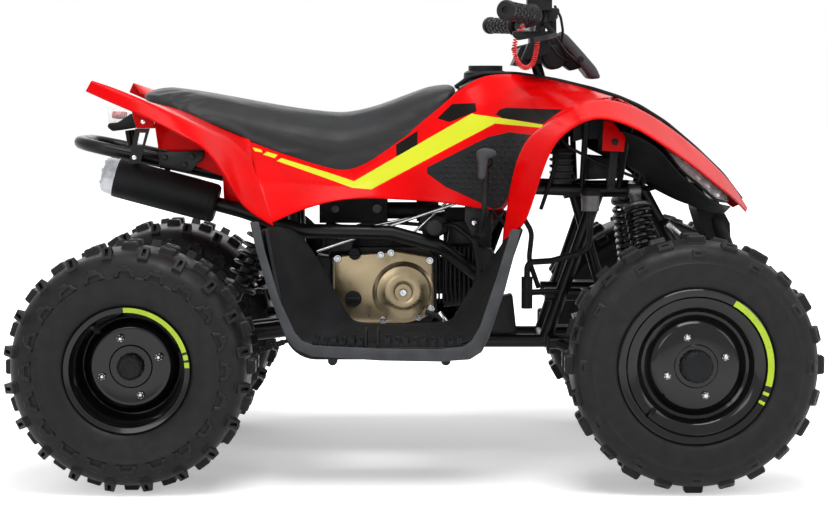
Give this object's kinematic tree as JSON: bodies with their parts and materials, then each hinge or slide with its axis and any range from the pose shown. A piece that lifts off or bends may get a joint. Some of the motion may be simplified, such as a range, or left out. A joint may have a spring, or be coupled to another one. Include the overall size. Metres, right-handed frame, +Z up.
{
  "type": "quad bike",
  "caption": "Sport quad bike with red bodywork, a tube frame, steered front wheels, a solid rear axle, a saddle seat and footwells.",
  "frame": {"origin": "on the ground under the middle of the vehicle's outline", "axes": "+X forwards, +Y to the vehicle's left, +Z up"},
  "size_m": [1.488, 0.928, 0.9009],
  "materials": {
    "black_frame": "satin black",
    "black_spring": "satin black",
    "seat_cover": "grained vinyl",
    "red_plastic": "gloss red",
    "dark_plastic": "matt black",
    "grey_plastic": "matt dark grey",
    "lamp_lens": "clear lens",
    "cast_alloy": "cast",
    "bronze_cover": "bronze paint",
    "dark_steel": "heat proof black",
    "brushed_cap": "brushed",
    "black_rubber": "matt",
    "tyre_rubber": "matt",
    "dark_rim": "satin charcoal",
    "steel_rod": "plain",
    "red_cord": "soft red"
  },
  "bodies": {
    "chassis": {"frame": "black_frame", "swingarm": "black_frame", "rear_shock": "black_spring", "front_shocks": "black_spring", "front_arms": "black_frame", "seat": "seat_cover", "side_covers": "red_plastic", "front_fenders": "red_plastic", "rear_fenders": "red_plastic", "knee_panels": "dark_plastic", "top_cover": "dark_plastic", "nose_cover": "red_plastic", "fuel_cap": "dark_plastic", "head_lamps": "lamp_lens", "tail_lamp": "lamp_lens", "grab_bar": "black_frame", "front_bumper": "black_frame", "engine": "cast_alloy", "engine_cover": "bronze_cover", "cylinder": "cast_alloy", "carburettor": "cast_alloy", "airbox": "dark_plastic", "exhaust_pipe": "dark_steel", "muffler": "dark_steel", "muffler_cap": "brushed_cap", "footwells": "dark_plastic", "footwell_strips": "grey_plastic", "shifter": "black_frame", "brake_reservoir": "dark_plastic", "brake_hose": "black_rubber", "drive_chain": "dark_steel", "inner_liners": "dark_plastic"},
    "steering": {"steering_stem": "black_frame", "handlebar": "black_frame", "grips": "black_rubber", "levers": "dark_plastic", "handlebar_cover": "grey_plastic", "visor": "grey_plastic", "tether": "red_cord"},
    "right_knuckle": {"knuckle_right": "cast_alloy"},
    "left_knuckle": {"knuckle_left": "cast_alloy"},
    "right_tie_rod": {"tie_rod_right": "steel_rod"},
    "left_tie_rod": {"tie_rod_left": "steel_rod"},
    "front_wheel_right": {"front_tyre_right": "tyre_rubber", "front_rim_right": "dark_rim", "front_hub_cap_right": "dark_plastic"},
    "front_wheel_left": {"front_tyre_left": "tyre_rubber", "front_rim_left": "dark_rim", "front_hub_cap_left": "dark_plastic"},
    "rear_wheels": {"rear_axle": "steel_rod", "rear_hub_caps": "dark_plastic", "rear_tyres": "tyre_rubber", "rear_rims": "dark_rim"}
  },
  "joints": [
    {"name": "steering", "type": "hinge", "parent": "chassis", "child": "steering", "pos_m": [0.388, 0, 0.3], "axis": [-0.2845, 0, 0.9587], "range_deg": [-34, 34]},
    {"name": "knuckle_right_turn", "type": "hinge", "parent": "chassis", "child": "right_knuckle", "pos_m": [0.509, -0.3, 0.235], "axis": [0, 0, 1], "range_deg": [-28, 28]},
    {"name": "tie_rod_right_turn", "type": "hinge", "parent": "right_knuckle", "child": "right_tie_rod", "pos_m": [0.434, -0.282, 0.276], "axis": [0, 0, 1], "range_deg": [-28, 28]},
    {"name": "front_wheel_right_spin", "type": "hinge", "parent": "right_knuckle", "child": "front_wheel_right", "pos_m": [0.509, -0.376, 0.235], "axis": [0, 1, 0], "continuous": true},
    {"name": "knuckle_left_turn", "type": "hinge", "parent": "chassis", "child": "left_knuckle", "pos_m": [0.509, 0.3, 0.235], "axis": [0, 0, 1], "range_deg": [-28, 28]},
    {"name": "tie_rod_left_turn", "type": "hinge", "parent": "left_knuckle", "child": "left_tie_rod", "pos_m": [0.434, 0.282, 0.276], "axis": [0, 0, 1], "range_deg": [-28, 28]},
    {"name": "front_wheel_left_spin", "type": "hinge", "parent": "left_knuckle", "child": "front_wheel_left", "pos_m": [0.509, 0.376, 0.235], "axis": [0, 1, 0], "continuous": true},
    {"name": "rear_wheels_spin", "type": "hinge", "parent": "chassis", "child": "rear_wheels", "pos_m": [-0.516, 0, 0.228], "axis": [0, 1, 0], "continuous": true}
  ],
  "couplings": [
    {"joint": "knuckle_right_turn", "follows": "steering", "ratio": 0.8},
    {"joint": "tie_rod_right_turn", "follows": "steering", "ratio": -0.8},
    {"joint": "knuckle_left_turn", "follows": "steering", "ratio": 0.8},
    {"joint": "tie_rod_left_turn", "follows": "steering", "ratio": -0.8}
  ]
}
